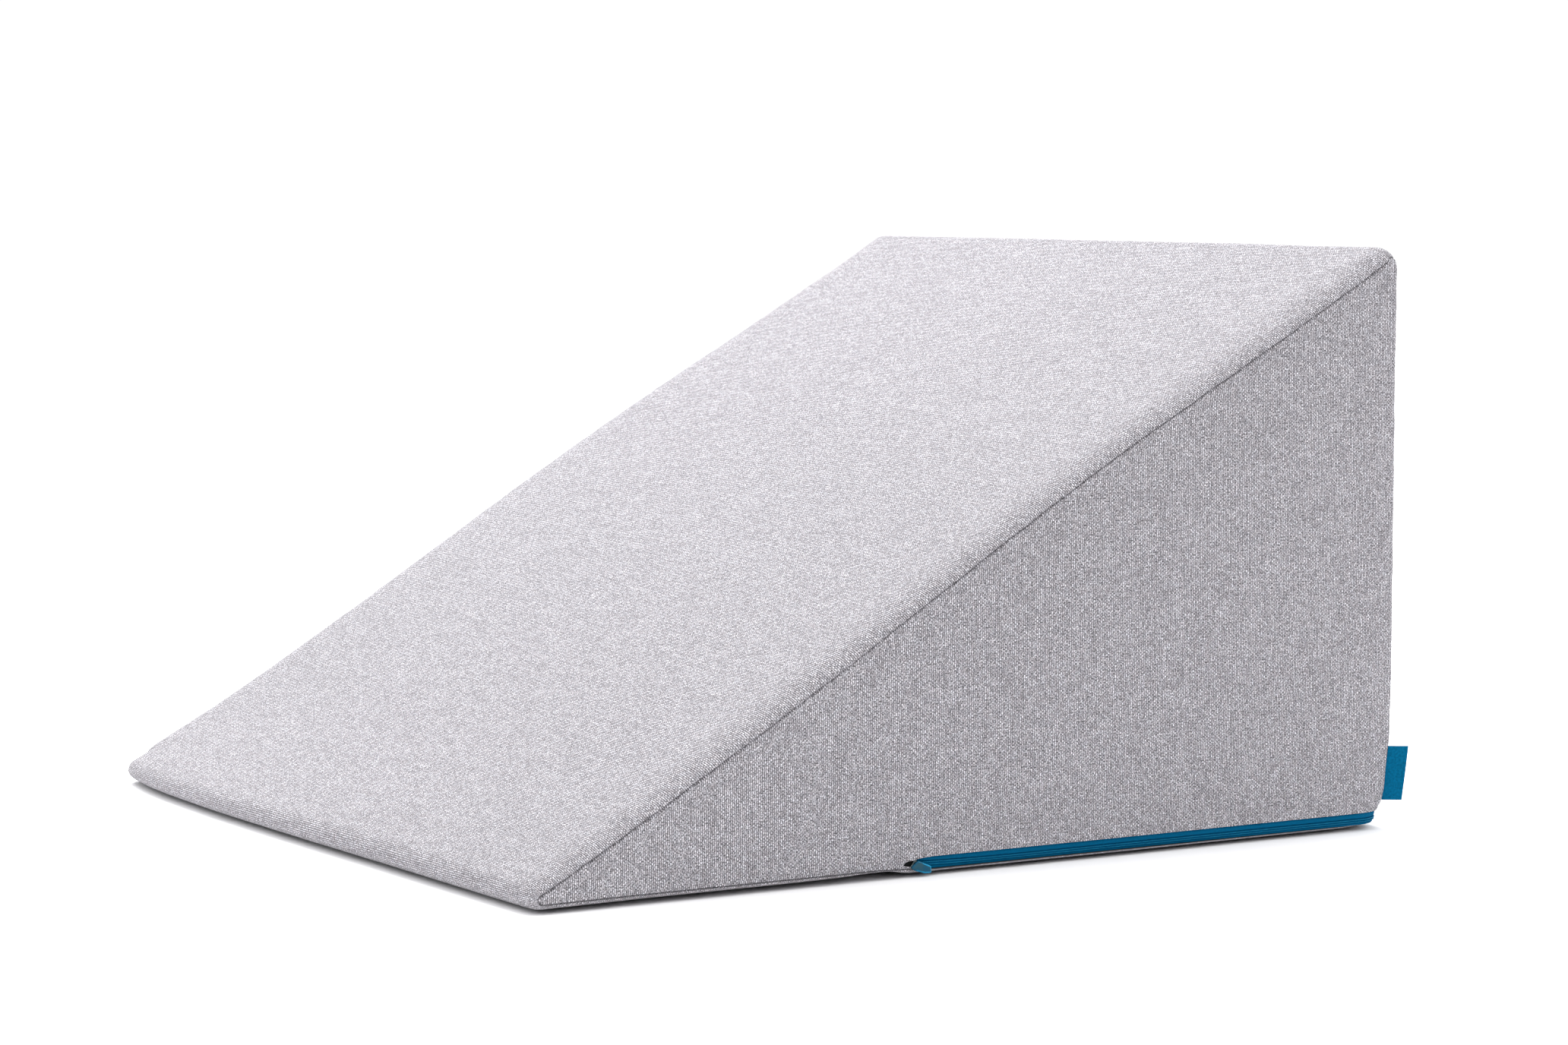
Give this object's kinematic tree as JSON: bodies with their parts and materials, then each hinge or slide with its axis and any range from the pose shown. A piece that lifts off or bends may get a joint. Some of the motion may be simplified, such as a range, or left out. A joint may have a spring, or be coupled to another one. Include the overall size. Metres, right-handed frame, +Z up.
{
  "type": "wedge pillow",
  "caption": "Foam wedge pillow in a sewn cloth cover with a zip round one lower edge and a folded side label.",
  "frame": {"origin": "middle of the flat bottom, on the surface that the pillow stands on", "axes": "+Z up, +Y from the thin nose to the high upright back, +X to the side with the zip's slider"},
  "size_m": [0.503, 0.5178, 0.3],
  "materials": {
    "cover_cloth": "heather grey knitted cloth with a matt, slightly soft face",
    "zip_tape": "teal woven zip tape",
    "zip_chain": "teal ribbed zip with two stitched rows over its coil",
    "slider": "dark painted die-cast slider",
    "pull_tab": "teal coated flat tab, satin",
    "label_cloth": "teal woven label, bare"
  },
  "bodies": {
    "root": {"cushion": "cover_cloth", "zip_tape": "zip_tape", "zip_chain": "zip_chain", "zip_slider": "slider", "zip_pull": "pull_tab", "label": "label_cloth"}
  },
  "joints": []
}
